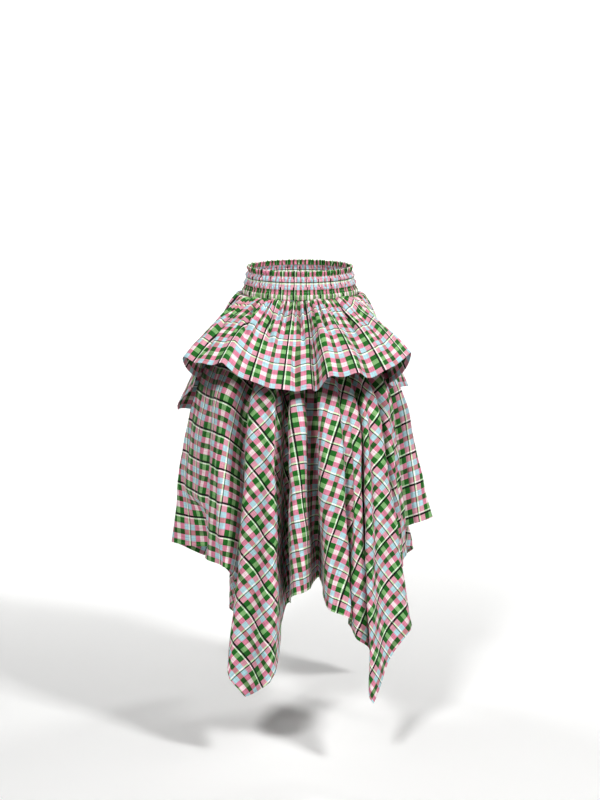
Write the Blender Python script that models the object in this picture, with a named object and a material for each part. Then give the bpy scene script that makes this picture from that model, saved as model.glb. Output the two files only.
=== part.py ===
"""Handkerchief skirt: a square of cloth with a round waist hole, a gathered peplum and a shirred waistband.

Metres, +Z up. The origin is the centre of the waistband's top ring, where the wearer's waist holds it. The
front faces -Y and +X is the viewer's right. Every wall is worked out from its flat cut: a point of the cloth
is named by its angle round the waist and its distance from the seam, and the fold tables say where the crests
hang.
"""

import math

import bpy
import numpy as np

# Walls
CLOTH_WALL = 0.0016
BAND_WALL = 0.0022
SEAM_GAP = 0.0003

# Waistband: half-axes of the rings, and their height and forward tilt
TOP_HALF_WIDTH = 0.120
TOP_HALF_DEPTH = 0.092
TOP_TILT = 0.0145
SEAM_HALF_WIDTH = 0.136
SEAM_HALF_DEPTH = 0.105
SEAM_DROP = 0.0665
SEAM_TILT = 0.0165
BAND_GATHERS = 84
GATHER_RISE = 0.0019

# Square of the lower skirt: hole radius, distance from its centre to each side, how far each side bows out
HOLE_RADIUS = 0.120
SQUARE_HALF = 0.742
SQUARE_SIDES = (
    # name, direction in degrees from centre front, bow, and how flat its top is
    ("front", 0, 0.045, 3),
    ("right", 90, -0.038, 1),
    ("back", 180, 0.020, 2),
    ("left", 270, 0.009, 2),
)

# Cloth distances from the seam at which the fold tables give a crest's place
HIP_REACH = 0.27
HEM_REACH = 0.65
SMOOTH_REACH = 0.10
START_SLOPE = 0.35

# Folds of the lower skirt, a row for each crest, from the left side round the front to the back: the cloth's
# angle from centre front in degrees and the crest's place in plan, each at hip and hem, the width of its flat
# face there, and the point in plan that the valley after it runs towards
SKIRT_FOLDS = (
    # name, hip_cloth, hem_cloth, hip_x, hip_y, hem_x, hem_y, hip_face, hem_face, valley_x, valley_y
    ("left_side", -101, -102, -0.254, 0.030, -0.311, 0.005, 0.030, 0.050, 0.00, 0.00),
    ("left_front", -81, -82, -0.187, -0.145, -0.195, -0.183, 0.040, 0.062, -0.02, 0.06),
    ("left_corner", -42, -45, -0.086, -0.212, -0.109, -0.232, 0.040, 0.070, 0.00, 0.20),
    ("front_left", -8, -9, -0.010, -0.218, -0.008, -0.258, 0.034, 0.036, 0.05, 0.10),
    ("front_right", 17, 22, 0.068, -0.212, 0.088, -0.252, 0.034, 0.044, 0.06, 0.00),
    ("front_shadow", 29, 32, 0.120, -0.190, 0.135, -0.232, 0.016, 0.020, 0.20, -0.02),
    ("right_corner", 43, 49.5, 0.164, -0.158, 0.198, -0.203, 0.038, 0.114, 0.10, 0.00),
    ("right_shadow", 66, 70, 0.212, -0.080, 0.252, -0.085, 0.030, 0.040, 0.00, 0.00),
    ("right_side", 95, 96, 0.246, 0.030, 0.336, 0.052, 0.030, 0.044, 0.00, 0.00),
    ("right_back", 117, 119, 0.196, 0.110, 0.272, 0.150, 0.024, 0.036, 0.00, 0.00),
    ("back_right_corner", 136, 136, 0.140, 0.158, 0.205, 0.215, 0.030, 0.056, 0.00, 0.00),
    ("back_right", 157, 157, 0.070, 0.186, 0.105, 0.255, 0.026, 0.040, 0.00, 0.00),
    ("back_middle", 180, 180, -0.005, 0.192, 0.005, 0.268, 0.026, 0.038, 0.00, 0.00),
    ("back_left", 203, 203, -0.080, 0.182, -0.078, 0.260, 0.026, 0.036, 0.00, 0.00),
    ("back_left_corner", 226, 226, -0.135, 0.158, -0.152, 0.222, 0.030, 0.048, 0.00, 0.00),
    ("left_back", 243, 243, -0.206, 0.104, -0.226, 0.136, 0.024, 0.036, 0.00, 0.00),
)
FACE_EASE = 1.04
TOP_FACE = 0.012

# Flutes of the peplum, a row for each crest: its place in plan at the hem, the cloth's length from seam to
# hem there, and how much longer the cloth is than the straight way to the next crest
PEPLUM_FLUTES = (
    # name, hem_x, hem_y, length, fullness
    ("left_flap", -0.304, 0.055, 0.335, 1.08),
    ("left_tip", -0.266, -0.172, 0.230, 1.06),
    ("left_2", -0.226, -0.210, 0.231, 1.05),
    ("left_1", -0.172, -0.232, 0.217, 1.05),
    ("front_3", -0.102, -0.248, 0.233, 1.05),
    ("front_2", -0.040, -0.252, 0.237, 1.06),
    ("front_1", 0.020, -0.242, 0.230, 1.80),
    ("front_4", 0.066, -0.270, 0.228, 1.05),
    ("right_1", 0.130, -0.262, 0.233, 1.20),
    ("right_2", 0.196, -0.242, 0.242, 1.05),
    ("right_3", 0.232, -0.210, 0.230, 1.06),
    ("right_tip", 0.250, -0.170, 0.213, 1.08),
    ("right_flap", 0.268, 0.075, 0.275, 1.12),
    ("back_4", 0.215, 0.155, 0.285, 1.15),
    ("back_3", 0.142, 0.218, 0.295, 1.13),
    ("back_2", 0.048, 0.248, 0.300, 1.15),
    ("back_1", -0.048, 0.248, 0.300, 1.13),
    ("back_5", -0.142, 0.222, 0.305, 1.14),
    ("back_6", -0.228, 0.160, 0.320, 1.12),
)
SIDE_SEAM_LENGTH = 0.225
RIGHT_TIP = 11
PEPLUM_OUTSET = 0.0048
PEPLUM_SPRING = 0.045
PEPLUM_GATHERS = 44
PEPLUM_GATHER_RISE = 0.0022
PEPLUM_GATHER_REACH = 0.085

# Sections of the waistband's outer face, from the top edge down: share of its height, and how far its
# gathers puff
BAND_SECTIONS = (
    # share, puff
    (0.00, 0.80),
    (0.09, 1.00),
    (0.18, 0.25),
    (0.32, 1.00),
    (0.45, 0.25),
    (0.59, 1.00),
    (0.72, 0.25),
    (0.86, 1.00),
    (1.00, 0.40),
)
BAND_LIFT = 0.0011

# Mean colour and roughness of the checked cloth on each piece
FINISHES = {
    "waistband": ((0.42, 0.45, 0.36), 0.60),
    "peplum_front": ((0.48, 0.44, 0.40), 0.55),
    "peplum_back": ((0.46, 0.43, 0.39), 0.55),
    "skirt_front": ((0.44, 0.42, 0.38), 0.55),
    "skirt_back": ((0.43, 0.41, 0.37), 0.55),
}

# Columns and rows of the meshes
FACE_STEPS = 2
VALLEY_STEPS = 8
SKIRT_ROWS = 12
PEPLUM_STEPS_A_GATHER = 4
PEPLUM_ROWS = 6

# Folds: the sharpest swing of a fold before it only deepens, how fast it deepens, the most it may hold, how a
# flute grows towards the hem, and the least share of the cloth's length that hangs down
MAX_SWING = 1.75
DEPTH_GROWTH = 0.9
MOST_FULLNESS = 6.0
FLUTE_GROWTH = 1.3
STEEPEST = 0.3

# Steps of a fold's curve and rounds of fitting it, steps of the drape round the cloth and down it, and rounds
# of finding where a column meets the hem
CURVE_STEPS = 96
FIT_ROUNDS = 26
CLOTH_STEP = 0.25
TOP_LEVELS = (0.0, 0.1, 5)
LOWER_LEVELS = (0.14, 19)
PEPLUM_LEVELS = 17
PEPLUM_KEYS = 1200
HEM_ROUNDS = 8

# Walls: the least step beside a seam, the probe for its normal, the search for the grid's normals and the
# least spread that the wall is thickened by
LEAST_STEP = 0.003
PROBE = 0.002
NORMAL_ROUNDS = 60
NORMAL_STEP = 0.05
LEAST_SPREAD = 0.6


def seam_point(turn, outset):
    """A point of the seam ring: turn is in radians from centre front, positive to the viewer's right."""
    x = (SEAM_HALF_WIDTH + outset) * np.sin(turn)
    y = -(SEAM_HALF_DEPTH + outset) * np.cos(turn)
    z = -SEAM_DROP - SEAM_TILT * np.cos(turn)
    return x, y, z


def seam_turn(x, y):
    """The turn at which the seam ring lies under a point in plan."""
    return np.arctan2(x / SEAM_HALF_WIDTH, -y / SEAM_HALF_DEPTH)


def eased(keys, values, at):
    """A smooth curve through a few values, each of them an array, carried on straight past the last."""
    slopes = []
    for index in range(len(keys)):
        low = max(index - 1, 0)
        high = min(index + 1, len(keys) - 1)
        slopes.append((values[high] - values[low]) / (keys[high] - keys[low]))
    slopes[0] = slopes[0] * START_SLOPE
    if at >= keys[-1]:
        return values[-1] + slopes[-1] * (at - keys[-1])
    index = max(i for i in range(len(keys) - 1) if at >= keys[i])
    span = keys[index + 1] - keys[index]
    t = (at - keys[index]) / span
    start = (1 + 2 * t) * (1 - t) ** 2 * values[index] + t * (1 - t) ** 2 * span * slopes[index]
    end = t * t * (3 - 2 * t) * values[index + 1] - t * t * (1 - t) * span * slopes[index + 1]
    return start + end


def crest_path(crests, index, t):
    """The closed smooth curve through all the crests, from one crest to the next."""
    count = len(crests)
    before, start = crests[index - 1], crests[index]
    end, after = crests[(index + 1) % count], crests[(index + 2) % count]
    t = t[:, None]
    along = -0.5 * t + t ** 2 - 0.5 * t ** 3
    stay = 1 - 2.5 * t ** 2 + 1.5 * t ** 3
    move = 0.5 * t + 2 * t ** 2 - 1.5 * t ** 3
    past = -0.5 * t ** 2 + 0.5 * t ** 3
    return along * before + stay * start + move * end + past * after


def fold_curve(crests, aims, index, swing, deepen):
    """From one crest down into the valley and up to the next: cloth that bends evenly, like a meander."""
    u = np.linspace(0, 1, CURVE_STEPS + 1)
    heading = swing * np.sin(2 * math.pi * u)
    across = np.concatenate([[0], np.cumsum(np.cos((heading[1:] + heading[:-1]) / 2))])
    inward = np.concatenate([[0], np.cumsum(np.sin((heading[1:] + heading[:-1]) / 2))])
    base = crest_path(crests, index, across / across[-1])
    chord = np.linalg.norm(crests[(index + 1) % len(crests)] - crests[index])
    depth = deepen * inward / across[-1] * chord
    towards = aims[index] - base
    towards /= np.linalg.norm(towards, axis=1)[:, None]
    return base + towards * depth[:, None]


def curve_length(points):
    return np.linalg.norm(np.diff(points, axis=0), axis=1).sum()


def fitted_fold(crests, aims, index, cloth_length):
    """The fold whose length is that of the cloth between its two crests, as points at even steps of cloth."""
    low, high = 0.0, MOST_FULLNESS
    for _ in range(FIT_ROUNDS):
        fullness = (low + high) / 2
        deepen = 1 + DEPTH_GROWTH * max(0, fullness - MAX_SWING)
        points = fold_curve(crests, aims, index, min(fullness, MAX_SWING), deepen)
        if curve_length(points) < cloth_length:
            low = fullness
        else:
            high = fullness
    steps = np.concatenate([[0], np.cumsum(np.linalg.norm(np.diff(points, axis=0), axis=1))])
    even = np.linspace(0, steps[-1], CURVE_STEPS + 1)
    return np.stack([np.interp(even, steps, points[:, axis]) for axis in (0, 1)], axis=1)


def hem_radius(cloth):
    """Distance from the square's centre to its edge, at a cloth angle in radians from centre front."""
    turn = math.degrees(cloth) % 360
    off_sides = [abs((turn - side[1] + 180) % 360 - 180) for side in SQUARE_SIDES]
    _, direction, bow, flatness = SQUARE_SIDES[off_sides.index(min(off_sides))]
    off = math.radians((turn - direction + 180) % 360 - 180)
    return (SQUARE_HALF + bow * (1 - abs(math.tan(off)) ** flatness)) / math.cos(off)


class Drape:
    """Places in space of a cloth, row by row. Levels count down from the seam; lengths is a level's."""

    def __init__(self, levels, cloth_keys, rings, seam_height, lengths):
        self.levels = levels
        self.cloth_keys = cloth_keys
        self.plan = np.array(rings)
        heights = [seam_height]
        for index in range(1, len(levels)):
            moved = np.linalg.norm(self.plan[index] - self.plan[index - 1], axis=1)
            step = (levels[index] - levels[index - 1]) * lengths
            heights.append(heights[-1] - np.sqrt(np.maximum(step ** 2 - moved ** 2, (STEEPEST * step) ** 2)))
        self.height = np.array(heights)

    def at(self, cloth, level):
        """The point of the cloth at a place round the seam and a level below it."""
        index = int(np.clip(np.searchsorted(self.levels, level) - 1, 0, len(self.levels) - 2))
        t = (level - self.levels[index]) / (self.levels[index + 1] - self.levels[index])
        point = []
        for grid in (self.plan[:, :, 0], self.plan[:, :, 1], self.height):
            upper = np.interp(cloth, self.cloth_keys, grid[index])
            lower = np.interp(cloth, self.cloth_keys, grid[index + 1])
            point.append(upper + (lower - upper) * t)
        return point


def ring_of_folds(crests, aims, cloth, lengths, around, cloth_keys):
    """One level of a drape: the folds between all crests, read at the given places round the cloth."""
    points, keys = [], []
    for index in range(len(crests)):
        fold = fitted_fold(crests, aims, index, lengths[index])
        points.append(fold[:-1])
        keys.append(np.linspace(cloth[index], cloth[index + 1], CURVE_STEPS + 1)[:-1])
    points = np.concatenate(points * 3)
    keys = np.concatenate(keys)
    keys = np.concatenate([keys - around, keys, keys + around])
    return np.stack([np.interp(cloth_keys, keys, points[:, axis]) for axis in (0, 1)], axis=1)


def straight_lengths(crests):
    aims = np.zeros_like(crests)
    return np.array([curve_length(fold_curve(crests, aims, index, 0.0, 1.0)) for index in range(len(crests))])


def shoulders(crests, cloth, faces, reach):
    """Each crest's flat face as two points, square to the way to the middle, and their cloth angles."""
    outward = crests / np.linalg.norm(crests, axis=1)[:, None]
    sideways = np.stack([-outward[:, 1], outward[:, 0]], axis=1) * faces[:, None] / 2
    turn = faces * FACE_EASE / reach / 2
    places = np.stack([crests - sideways, crests + sideways], axis=1).reshape(-1, 2)
    angles = np.stack([cloth - turn, cloth + turn], axis=1).reshape(-1)
    return places, angles


def seated(rings, levels, outset, reach):
    """The rings with the first brought onto the seam ring, and the others less and less so."""
    first = rings[0]
    turns = np.unwrap(seam_turn(first[:, 0], first[:, 1]))
    seam = seam_point(turns, outset)
    share = np.hypot(seam[0], seam[1]) / np.linalg.norm(first, axis=1) - 1
    moved = [ring * (1 + share * max(0.0, 1 - level / reach))[:, None] for ring, level in zip(rings, levels)]
    return moved, seam[2]


def skirt_drape():
    """The lower skirt: a round of cloth that grows with its distance from the hole, hung in its folds."""
    table = np.array([row[1:] for row in SKIRT_FOLDS], float)
    hip_cloth, hem_cloth = np.radians(table[:, 0]), np.radians(table[:, 1])
    hip, hem = table[:, 2:4], table[:, 4:6]
    hip_face, hem_face = table[:, 6], table[:, 7]
    aims = np.stack([np.zeros((len(table), 2)), table[:, 8:10]], axis=1).reshape(-1, 2)
    turn = (np.unwrap(seam_turn(hip[:, 0], hip[:, 1])) + hip_cloth) / 2
    top = np.stack(seam_point(turn, 0.0)[:2], axis=1)
    furthest = SQUARE_HALF * math.sqrt(2) - HOLE_RADIUS
    lower_start, lower_count = LOWER_LEVELS
    lower = np.linspace(lower_start, furthest + 0.01, lower_count)
    levels = np.concatenate([np.linspace(*TOP_LEVELS), lower])
    cloth_keys = np.radians(np.arange(-115, 285, CLOTH_STEP))
    rings, fold_edges = [], []
    for level in levels:
        share = min(level / HEM_REACH, 1.0)
        centres = eased((0, HIP_REACH, HEM_REACH), (top, hip, hem), level)
        widening = (hem_face - hip_face) * (level - HIP_REACH) / (HEM_REACH - HIP_REACH)
        faces = np.maximum(TOP_FACE, hip_face + widening)
        centre_cloth = hip_cloth + (hem_cloth - hip_cloth) * share
        crests, cloth = shoulders(centres, centre_cloth, faces, HOLE_RADIUS + level)
        cloth = np.append(cloth, cloth[0] + 2 * math.pi)
        fold_edges.append(cloth)
        straight = straight_lengths(crests)
        full = (HOLE_RADIUS + level) * np.diff(cloth)
        lengths = straight + np.maximum(0, full - straight) * min(1.0, level / SMOOTH_REACH)
        rings.append(ring_of_folds(crests, aims * share, cloth, lengths, 2 * math.pi, cloth_keys))
    rings, height = seated(rings, levels, 0.0, SMOOTH_REACH)
    return Drape(levels, cloth_keys, rings, height, 1.0), np.array(fold_edges)


def peplum_drape():
    """The peplum: a gathered strip. Its cloth is measured round the hem, from the left flap's crest."""
    hem = np.array([row[1:3] for row in PEPLUM_FLUTES])
    reach = np.array([row[3] for row in PEPLUM_FLUTES])
    fullness = np.array([row[4] for row in PEPLUM_FLUTES])
    turn = np.unwrap(seam_turn(hem[:, 0], hem[:, 1]))
    top = np.stack(seam_point(turn, PEPLUM_OUTSET)[:2], axis=1)
    cloth = np.concatenate([[0], np.cumsum(straight_lengths(hem) * fullness)])
    around = cloth[-1]
    cloth_keys = np.linspace(0, 1.2 * around, PEPLUM_KEYS)
    seams = [(cloth[0] + cloth[1]) / 2, (cloth[RIGHT_TIP] + cloth[RIGHT_TIP + 1]) / 2]
    length_keys = np.concatenate([cloth, seams])
    length_values = np.concatenate([reach, [reach[0], SIDE_SEAM_LENGTH, SIDE_SEAM_LENGTH]])
    order = np.argsort(length_keys)
    lengths = np.interp(cloth_keys % around, length_keys[order], length_values[order])
    gather = np.cos(2 * math.pi * PEPLUM_GATHERS * cloth_keys / around)
    levels = np.linspace(0, 1, PEPLUM_LEVELS)
    rings = []
    for level in levels:
        spread = level + PEPLUM_SPRING * math.sin(math.pi * level)
        crests = top + (hem - top) * spread
        full = 1 + (fullness - 1) * level ** FLUTE_GROWTH
        aims = np.zeros_like(crests)
        rings.append(ring_of_folds(crests, aims, cloth, straight_lengths(crests) * full, around, cloth_keys))
    rings, height = seated(rings, levels, PEPLUM_OUTSET, 1.0)
    for index, level in enumerate(levels):
        fade = np.maximum(0, 1 - level * lengths / PEPLUM_GATHER_REACH)
        outward = rings[index] / np.linalg.norm(rings[index], axis=1)[:, None]
        rings[index] = rings[index] + outward * (PEPLUM_GATHER_RISE * gather * fade)[:, None]
    drape = Drape(levels, cloth_keys, rings, height, lengths)
    return drape, around, seams


def unit(vectors):
    return vectors / np.linalg.norm(vectors, axis=-1, keepdims=True)


def grid_triangles(grid):
    """Triangles of a grid of points, numbered row by row, each cell cut along its shorter diagonal."""
    rows, columns = grid.shape[:2]
    points = grid.reshape(-1, 3)
    triangles = []
    for row in range(rows - 1):
        for column in range(columns - 1):
            a, d = row * columns + column, (row + 1) * columns + column
            b, c = a + 1, d + 1
            if np.linalg.norm(points[a] - points[c]) < np.linalg.norm(points[b] - points[d]):
                a, b, c, d = b, c, d, a
            triangles += [(d, b, a), (d, c, b)]
    return triangles


def grid_normals(grid, triangles):
    """Normals at a grid's points, and how far each faces the triangle that it faces least, 1 for fully."""
    points = grid.reshape(-1, 3)
    corners = np.array(triangles)
    first, second, third = (points[corners[:, corner]] for corner in range(3))
    facing = unit(np.cross(second - first, third - first))
    facing, at = np.repeat(facing, 3, axis=0), corners.reshape(-1)
    total = np.zeros_like(points)
    np.add.at(total, at, facing)
    for _ in range(NORMAL_ROUNDS):
        normals = unit(total)
        share = (facing * normals[at]).sum(axis=1)
        least = np.ones(len(points))
        np.minimum.at(least, at, share)
        furthest = share == least[at]
        total = normals.copy()
        np.add.at(total, at[furthest], facing[furthest] * NORMAL_STEP)
    return normals.reshape(grid.shape), least.reshape(grid.shape[:2])


def wall_about(name, middle, seam_normals):
    """A closed wall about a grid of points. Both faces are cut along the same diagonals."""
    rows, columns = middle.shape[:2]
    triangles = grid_triangles(middle)
    normals, spread = grid_normals(middle, triangles)
    half = normals / np.clip(spread, LEAST_SPREAD, 1)[:, :, None]
    half[:, [0, -1]] = seam_normals
    half *= CLOTH_WALL / 2
    points = np.concatenate([(middle + half).reshape(-1, 3), (middle - half).reshape(-1, 3)])
    back = rows * columns
    faces = list(triangles)
    faces += [(a + back, c + back, b + back) for a, b, c in triangles]
    low = (rows - 1) * columns
    for column in range(columns - 1):
        right = column + 1
        faces.append((column, right, right + back, column + back))
        faces.append((low + column + back, low + right + back, low + right, low + column))
    for row in range(rows - 1):
        a, b = row * columns, (row + 1) * columns
        faces.append((a, a + back, b + back, b))
        a, b = a + columns - 1, b + columns - 1
        faces.append((a, b, b + back, a + back))
    mesh = bpy.data.meshes.new(name)
    mesh.from_pydata([tuple(point) for point in points], [], faces)
    mesh.shade_smooth()
    return bpy.data.objects.new(name, mesh)


def panel(name, drape, columns, seams, reach_at):
    """A cloth panel: columns of (place, level) pairs from seam to hem, thickened about its mid surface."""
    middle, seam_normals = [], []
    for row in range(len(columns[0])):
        for column in columns:
            cloth, level = column[row]
            if cloth in seams:
                side = PROBE / reach_at(level)
                beside = np.subtract(drape.at(cloth + side, level), drape.at(cloth - side, level))
                down = np.subtract(drape.at(cloth, level + PROBE), drape.at(cloth, level - PROBE))
                seam_normals.append(unit(np.cross(down, beside)))
                gap = SEAM_GAP * side / np.linalg.norm(beside)
                cloth += gap if cloth == seams[0] else -gap
            middle.append(drape.at(cloth, level))
    middle = np.array(middle).reshape(len(columns[0]), len(columns), 3)
    return wall_about(name, middle, np.array(seam_normals).reshape(len(middle), 2, 3))


def skirt_panels():
    """Front and back halves of the square. Their columns follow the folds, more of them in the valleys."""
    drape, fold_edges = skirt_drape()
    count = fold_edges.shape[1] - 1

    def cloth_at(place, level):
        turns, inside = divmod(place, count)
        edges = [np.interp(level, drape.levels, fold_edges[:, int(inside) + side]) for side in (0, 1)]
        return edges[0] + (edges[1] - edges[0]) * (inside % 1) + turns * 2 * math.pi

    def column_from(place_to_cloth):
        reach = HEM_REACH
        for _ in range(HEM_ROUNDS):
            reach = hem_radius(place_to_cloth(reach)) - HOLE_RADIUS
        levels = [reach * row / SKIRT_ROWS for row in range(SKIRT_ROWS + 1)]
        return [(place_to_cloth(level), level) for level in levels]

    places = []
    for index in range(-count, 2 * count):
        steps = (FACE_STEPS, VALLEY_STEPS)[index % 2]
        places += [index + step / steps for step in range(steps)]
    panels = []
    for name, start in (("skirt_front", -90), ("skirt_back", 90)):
        seams = (math.radians(start), math.radians(start + 180))
        columns = [column_from(lambda level, place=place: cloth_at(place, level)) for place in places]
        least = [LEAST_STEP / (HOLE_RADIUS + level) for _, level in columns[0]]
        columns = [
            column
            for column in columns
            if all(seams[0] + step < cloth < seams[1] - step for (cloth, _), step in zip(column, least))
        ]
        ends = [column_from(lambda level, seam=seam: seam) for seam in seams]
        columns = [ends[0], *columns, ends[1]]
        panels.append(panel(name, drape, columns, seams, lambda level: HOLE_RADIUS + level))
    return panels


def peplum_panels():
    """Front and back strips of the peplum, with four columns a gather."""
    drape, around, (left_seam, right_seam) = peplum_drape()
    step = around / PEPLUM_GATHERS / PEPLUM_STEPS_A_GATHER
    places = [step * index for index in range(2 * PEPLUM_GATHERS * PEPLUM_STEPS_A_GATHER)]
    levels = [row / PEPLUM_ROWS for row in range(PEPLUM_ROWS + 1)]
    panels = []
    for name, seams in (
        ("peplum_front", (left_seam, right_seam)),
        ("peplum_back", (right_seam, left_seam + around)),
    ):
        inside = [place for place in places if seams[0] + LEAST_STEP < place < seams[1] - LEAST_STEP]
        columns = [[(place, level) for level in levels] for place in (seams[0], *inside, seams[1])]
        panels.append(panel(name, drape, columns, seams, lambda level: 1.0))
    return panels


def band_ring(share, outset):
    """A ring of the waistband: two points a gather, share of the height down from the top edge."""
    turn = np.arange(2 * BAND_GATHERS) * math.pi / BAND_GATHERS
    half_width = TOP_HALF_WIDTH + (SEAM_HALF_WIDTH - TOP_HALF_WIDTH) * share
    half_depth = TOP_HALF_DEPTH + (SEAM_HALF_DEPTH - TOP_HALF_DEPTH) * share
    tilt = TOP_TILT + (SEAM_TILT - TOP_TILT) * share
    drop = (SEAM_DROP - BAND_LIFT) * share
    x = (half_width + outset) * np.sin(turn)
    y = -(half_depth + outset) * np.cos(turn)
    return np.stack([x, y, -drop - tilt * np.cos(turn)], axis=1)


def waistband():
    """The shirred band: gathers puffed out between the rows of elastic, over a plain inside."""
    ridges = np.arange(2 * BAND_GATHERS) % 2
    outer = [band_ring(share, BAND_WALL / 2 + GATHER_RISE * puff * ridges) for share, puff in BAND_SECTIONS]
    inner = [band_ring(share, -BAND_WALL / 2) for share in (0.0, 1.0)]
    return ring_wall("waistband", outer + inner[::-1])


def ring_wall(name, rings):
    """A closed wall swept through rings: down its outer face and up its inner one."""
    count = len(rings[0])
    faces = []
    for index in range(len(rings)):
        upper, lower = index * count, (index + 1) % len(rings) * count
        for column in range(count):
            right = (column + 1) % count
            faces.append((lower + column, lower + right, upper + right, upper + column))
    mesh = bpy.data.meshes.new(name)
    mesh.from_pydata([tuple(point) for ring in rings for point in ring], [], faces)
    mesh.shade_smooth()
    return bpy.data.objects.new(name, mesh)


def cloth_material(name, colour, roughness):
    material = bpy.data.materials.new(name)
    material.use_nodes = True
    shader = material.node_tree.nodes["Principled BSDF"]
    shader.inputs["Base Color"].default_value = (*colour, 1.0)
    shader.inputs["Roughness"].default_value = roughness
    shader.inputs["Metallic"].default_value = 0.0
    return material


def main():
    for item in list(bpy.data.objects):
        bpy.data.objects.remove(item, do_unlink=True)
    collection = bpy.data.collections.new("handkerchief_skirt")
    bpy.context.scene.collection.children.link(collection)
    pieces = [waistband(), *peplum_panels(), *skirt_panels()]
    for piece in pieces:
        colour, roughness = FINISHES[piece.name]
        piece.data.materials.append(cloth_material(piece.name + "_cloth", colour, roughness))
        collection.objects.link(piece)


main()
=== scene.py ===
"""Looks of the handkerchief skirt: its five pieces of checked cotton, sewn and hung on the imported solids.

Metres, +Z up, front towards -Y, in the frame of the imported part. Each cloth is worked out from its flat cut,
finer than its solid: a point is named by its place on the cut, which also gives it its place in the check.
"""

import math

import bpy
import numpy as np
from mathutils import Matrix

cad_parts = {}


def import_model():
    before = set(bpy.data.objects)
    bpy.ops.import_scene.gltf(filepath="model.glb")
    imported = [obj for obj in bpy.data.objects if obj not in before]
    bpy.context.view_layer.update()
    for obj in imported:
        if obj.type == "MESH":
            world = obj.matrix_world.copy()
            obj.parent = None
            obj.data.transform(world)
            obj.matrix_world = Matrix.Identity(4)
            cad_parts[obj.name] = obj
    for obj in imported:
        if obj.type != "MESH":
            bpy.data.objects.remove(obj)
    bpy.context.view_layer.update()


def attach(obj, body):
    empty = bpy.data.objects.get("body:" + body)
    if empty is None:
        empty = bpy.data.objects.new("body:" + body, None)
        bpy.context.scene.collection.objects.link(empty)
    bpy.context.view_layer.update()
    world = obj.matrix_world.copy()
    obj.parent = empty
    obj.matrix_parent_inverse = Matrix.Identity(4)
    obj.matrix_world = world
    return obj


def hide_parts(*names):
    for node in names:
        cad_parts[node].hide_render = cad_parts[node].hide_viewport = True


# Waistband: half-axes of its top ring and of the seam ring, and their height and forward tilt
TOP_HALF_WIDTH = 0.120
TOP_HALF_DEPTH = 0.092
TOP_TILT = 0.0145
SEAM_HALF_WIDTH = 0.136
SEAM_HALF_DEPTH = 0.105
SEAM_DROP = 0.0665
SEAM_TILT = 0.0165

# Square of the lower skirt: hole radius, distance from its centre to each side, and how far each side bows
# out, or in where the bow is negative
HOLE_RADIUS = 0.120
SQUARE_HALF = 0.742
SQUARE_SIDES = (
    # name, direction in degrees from centre front, bow, and how flat its top is
    ("front", 0, 0.045, 3),
    ("right", 90, -0.038, 1),
    ("back", 180, 0.020, 2),
    ("left", 270, 0.009, 2),
)

# Cloth distances from the seam at which the fold tables give a crest's place
HIP_REACH = 0.27
HEM_REACH = 0.65
SMOOTH_REACH = 0.10
START_SLOPE = 0.35

# Folds of the lower skirt, a row for each crest, from the left side round the front to the back: the cloth's
# angle from centre front in degrees and the crest's place in plan, each at hip and hem, the width of its flat
# face there, and the point in plan that the valley after it runs towards. The left corner's face is a little
# wider than in the solids and the one after it narrower, which opens the gap between them
SKIRT_FOLDS = (
    # name, hip_cloth, hem_cloth, hip_x, hip_y, hem_x, hem_y, hip_face, hem_face, valley_x, valley_y
    ("left_side", -101, -102, -0.254, 0.030, -0.311, 0.005, 0.030, 0.050, 0.00, 0.00),
    ("left_front", -81, -82, -0.187, -0.145, -0.195, -0.183, 0.040, 0.062, -0.02, 0.06),
    ("left_corner", -42, -44.5, -0.081, -0.212, -0.105, -0.234, 0.052, 0.082, -0.02, 0.20),
    ("front_left", -8, -9, -0.007, -0.218, -0.003, -0.258, 0.018, 0.018, 0.05, 0.10),
    ("front_right", 17, 22, 0.068, -0.212, 0.088, -0.252, 0.034, 0.044, 0.06, 0.00),
    ("front_shadow", 29, 32, 0.120, -0.190, 0.135, -0.232, 0.016, 0.020, 0.20, -0.02),
    ("right_corner", 43, 49.5, 0.164, -0.158, 0.198, -0.203, 0.038, 0.114, 0.10, 0.00),
    ("right_shadow", 66, 70, 0.212, -0.080, 0.252, -0.085, 0.030, 0.040, 0.00, 0.00),
    ("right_side", 95, 96, 0.246, 0.030, 0.336, 0.052, 0.030, 0.044, 0.00, 0.00),
    ("right_back", 117, 119, 0.196, 0.110, 0.272, 0.150, 0.024, 0.036, 0.00, 0.00),
    ("back_right_corner", 136, 136, 0.140, 0.158, 0.205, 0.215, 0.030, 0.056, 0.00, 0.00),
    ("back_right", 157, 157, 0.070, 0.186, 0.105, 0.255, 0.026, 0.040, 0.00, 0.00),
    ("back_middle", 180, 180, -0.005, 0.192, 0.005, 0.268, 0.026, 0.038, 0.00, 0.00),
    ("back_left", 203, 203, -0.080, 0.182, -0.078, 0.260, 0.026, 0.036, 0.00, 0.00),
    ("back_left_corner", 226, 226, -0.135, 0.158, -0.152, 0.222, 0.030, 0.048, 0.00, 0.00),
    ("left_back", 243, 243, -0.206, 0.104, -0.226, 0.136, 0.024, 0.036, 0.00, 0.00),
)
FACE_EASE = 1.04
TOP_FACE = 0.012

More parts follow.
